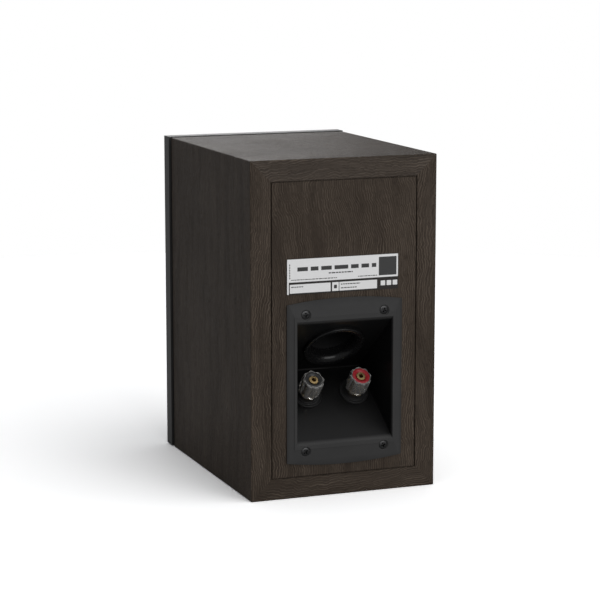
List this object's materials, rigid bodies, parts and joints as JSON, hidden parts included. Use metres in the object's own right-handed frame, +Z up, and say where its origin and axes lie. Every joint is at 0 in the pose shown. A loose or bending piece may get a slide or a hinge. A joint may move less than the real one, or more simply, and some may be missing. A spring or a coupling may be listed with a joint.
{
  "type": "bookshelf speaker",
  "caption": "Two-way ported bookshelf loudspeaker with a recessed rear terminal and port plate, sprung cones and turning binding-post nuts.",
  "frame": {"origin": "centre of the footprint on the ground, driver trims and terminal plate included", "axes": "+Z up, front baffle towards -Y, terminals towards +Y"},
  "size_m": [0.173, 0.238, 0.2925],
  "materials": {
    "oak_wrap": "dark stained open-pore oak, satin",
    "baffle_lacquer": "satin black lacquer on MDF",
    "raw_mdf": "raw board, matt",
    "wadding": "loose polyester wadding",
    "soft_rubber": "matt",
    "foam_seal": "closed-cell foam",
    "moulded_black": "fine moulded texture",
    "port_black": "satin",
    "zinc_screws": "black-passivated",
    "label_film": "matt print",
    "label_silver": "brushed foil",
    "gold_plate": "polished gold plate",
    "bright_steel": "satin",
    "clear_nut": "clear, slightly smoky",
    "red_mark": "gloss",
    "black_mark": "gloss",
    "basket_metal": "satin black powder coat",
    "cone_paper": "pressed fibre, lightly coated",
    "dust_cap": "coated cloth",
    "spider_cloth": "impregnated cloth",
    "former_card": "resin film",
    "copper_wire": "enamelled",
    "ferrite": "matt sintered",
    "dome_silk": "coated weave",
    "circuit_board": "solder mask",
    "capacitor_film": "tape wrap",
    "ceramic": "cement",
    "wire_sheath": "satin"
  },
  "bodies": {
    "cabinet": {"side_panel_left": "oak_wrap", "side_panel_right": "oak_wrap", "top_panel": "oak_wrap", "bottom_panel": "oak_wrap", "rear_panel": "oak_wrap", "front_baffle": "baffle_lacquer", "shelf_brace": "raw_mdf", "damping_wadding": "wadding", "grille_sockets": "soft_rubber", "terminal_plate": "moulded_black", "plate_gasket": "foam_seal", "plate_screws": "zinc_screws", "port_flare": "port_black", "port_tube": "moulded_black", "label_backing": "label_film", "label_foil": "label_silver", "post_collars": "moulded_black", "red_post_stem": "gold_plate", "black_post_stem": "gold_plate", "post_nuts": "bright_steel", "solder_tags": "bright_steel", "woofer_basket": "basket_metal", "woofer_gasket": "foam_seal", "woofer_trim": "soft_rubber", "woofer_surround": "soft_rubber", "woofer_spider": "spider_cloth", "woofer_top_plate": "bright_steel", "woofer_magnet": "ferrite", "woofer_yoke": "bright_steel", "woofer_screws": "zinc_screws", "tweeter_faceplate": "moulded_black", "tweeter_gasket": "foam_seal", "tweeter_surround": "soft_rubber", "tweeter_top_plate": "bright_steel", "tweeter_magnet": "ferrite", "tweeter_yoke": "bright_steel", "tweeter_chamber": "moulded_black", "tweeter_screws": "zinc_screws", "crossover_board": "circuit_board", "crossover_coils": "copper_wire", "crossover_capacitors": "capacitor_film", "crossover_resistor": "ceramic", "crossover_screws": "zinc_screws", "internal_wires": "wire_sheath"},
    "woofer_cone_assembly": {"woofer_cone": "cone_paper", "woofer_dust_cap": "dust_cap", "woofer_coil_former": "former_card", "woofer_voice_coil": "copper_wire"},
    "tweeter_dome_assembly": {"tweeter_dome": "dome_silk", "tweeter_voice_coil": "copper_wire"},
    "red_clamp": {"red_clamp_washer": "bright_steel"},
    "red_nut": {"red_knob": "clear_nut", "red_knob_insert": "gold_plate", "red_ring": "red_mark"},
    "black_clamp": {"black_clamp_washer": "bright_steel"},
    "black_nut": {"black_knob": "clear_nut", "black_knob_insert": "gold_plate", "black_ring": "black_mark"}
  },
  "joints": [
    {"name": "woofer_excursion", "type": "slide", "parent": "cabinet", "child": "woofer_cone_assembly", "axis": [0, -1, 0], "range_m": [-0.005, 0.005], "stiffness_N_per_m": 900, "deforming": ["woofer_surround", "woofer_spider"]},
    {"name": "tweeter_excursion", "type": "slide", "parent": "cabinet", "child": "tweeter_dome_assembly", "axis": [0, -1, 0], "range_m": [-0.0004, 0.0004], "stiffness_N_per_m": 8000, "deforming": ["tweeter_surround"]},
    {"name": "red_nut_turn", "type": "hinge", "parent": "red_clamp", "child": "red_nut", "pos_m": [-0.022, 0.09047, 0.08897], "axis": [0, 0.7071, 0.7071], "range_deg": [0, 1081]},
    {"name": "red_clamp_travel", "type": "slide", "parent": "cabinet", "child": "red_clamp", "axis": [0, 0.7071, 0.7071], "range_m": [0, 0.006]},
    {"name": "black_nut_turn", "type": "hinge", "parent": "black_clamp", "child": "black_nut", "pos_m": [0.022, 0.09047, 0.08897], "axis": [0, 0.7071, 0.7071], "range_deg": [0, 1081]},
    {"name": "black_clamp_travel", "type": "slide", "parent": "cabinet", "child": "black_clamp", "axis": [0, 0.7071, 0.7071], "range_m": [0, 0.006]}
  ],
  "couplings": [
    {"joint": "red_nut_turn", "follows": "red_clamp_travel", "rad_per_m": 3141.6},
    {"joint": "black_nut_turn", "follows": "black_clamp_travel", "rad_per_m": 3141.6}
  ]
}
